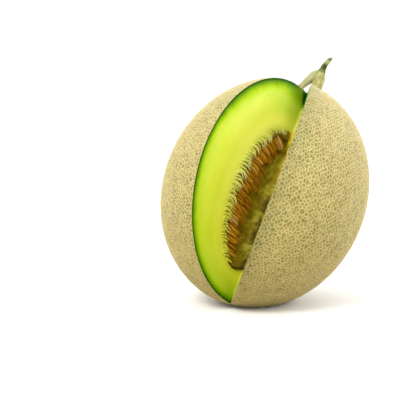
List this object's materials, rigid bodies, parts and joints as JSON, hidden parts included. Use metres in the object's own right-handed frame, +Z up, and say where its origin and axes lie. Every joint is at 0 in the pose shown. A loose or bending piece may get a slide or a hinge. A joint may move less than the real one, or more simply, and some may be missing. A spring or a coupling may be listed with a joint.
{
  "type": "cantaloupe",
  "caption": "Netted green-fleshed cantaloupe with a wedge cut out, showing seeds and pulp, and a short T-shaped stem.",
  "frame": {"origin": "middle of the small flat spot on the rind that the fruit rests on", "axes": "+Z up, away from the surface it rests on; +Y away from a viewer who looks into the cut; +X to that viewer's right. The core leans 38 degrees from +Z, back and to the right, with the stem at its upper end"},
  "size_m": [0.1478, 0.1503, 0.1703],
  "materials": {
    "rind": "matte",
    "pulp": "satin",
    "stem": "matte",
    "seeds": "satin"
  },
  "bodies": {
    "root": {"fruit": "rind", "pulp": "pulp", "stem": "stem", "seeds_left_outer": "seeds", "seeds_left_inner": "seeds", "seeds_right_outer": "seeds", "seeds_right_inner": "seeds"}
  },
  "joints": []
}
